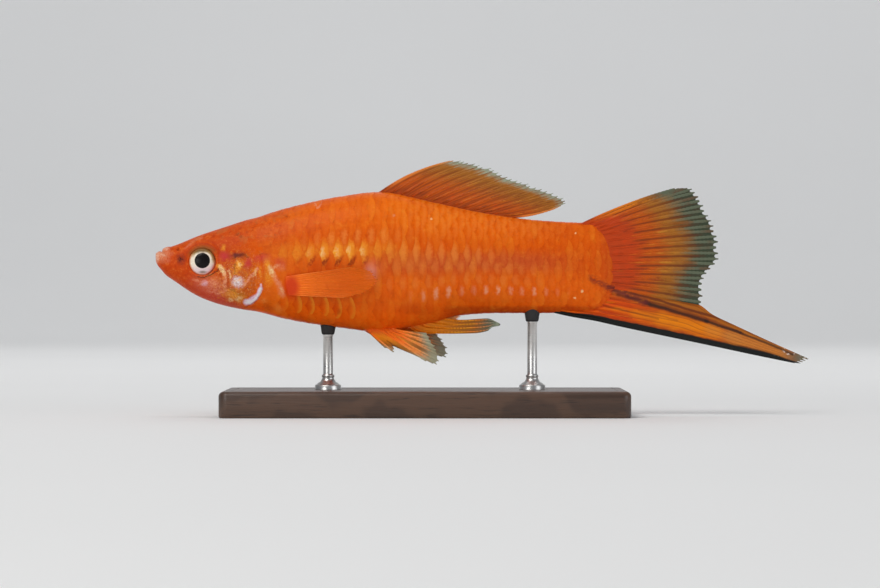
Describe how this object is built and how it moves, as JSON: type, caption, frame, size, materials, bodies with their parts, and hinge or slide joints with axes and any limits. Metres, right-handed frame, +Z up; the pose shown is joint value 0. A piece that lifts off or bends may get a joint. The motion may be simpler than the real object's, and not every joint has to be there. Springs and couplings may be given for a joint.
{
  "type": "swordtail fish display model",
  "caption": "Still life-size male swordtail fish in a level swimming pose, with long lower tail sword, held by slim rods on a flat display base.",
  "frame": {"origin": "centre of the underside of the stand's base, on the surface that it rests on", "axes": "+X from the snout to the tail, +Y to the fish's right side, away from the picture's viewer, +Z up"},
  "size_m": [0.1002, 0.028, 0.0392],
  "materials": {
    "flesh": "glossy orange scaled skin, redder on the flank and paler on the belly",
    "gill_cover": "pearly gold and pink over orange",
    "fin": "thin orange web between darker rays, clearing to grey-green at the margin",
    "sword": "orange-yellow with black borders above and below",
    "eye": "wet cream iris round a black pupil",
    "wood": "dark stained, satin",
    "steel": "satin turned rod"
  },
  "bodies": {
    "root": {"head": "flesh", "gill_cover_left": "gill_cover", "gill_cover_right": "gill_cover", "eye_left": "eye", "eye_right": "eye", "trunk": "flesh", "tail_stem": "flesh", "dorsal_fin": "fin", "tail_fin": "fin", "tail_sword": "sword", "anal_fin": "fin", "pectoral_fin_left": "fin", "pectoral_fin_right": "fin", "pelvic_fin_left": "fin", "pelvic_fin_right": "fin", "stand_base": "wood", "stand_rod_front": "steel", "stand_rod_rear": "steel"}
  },
  "joints": []
}
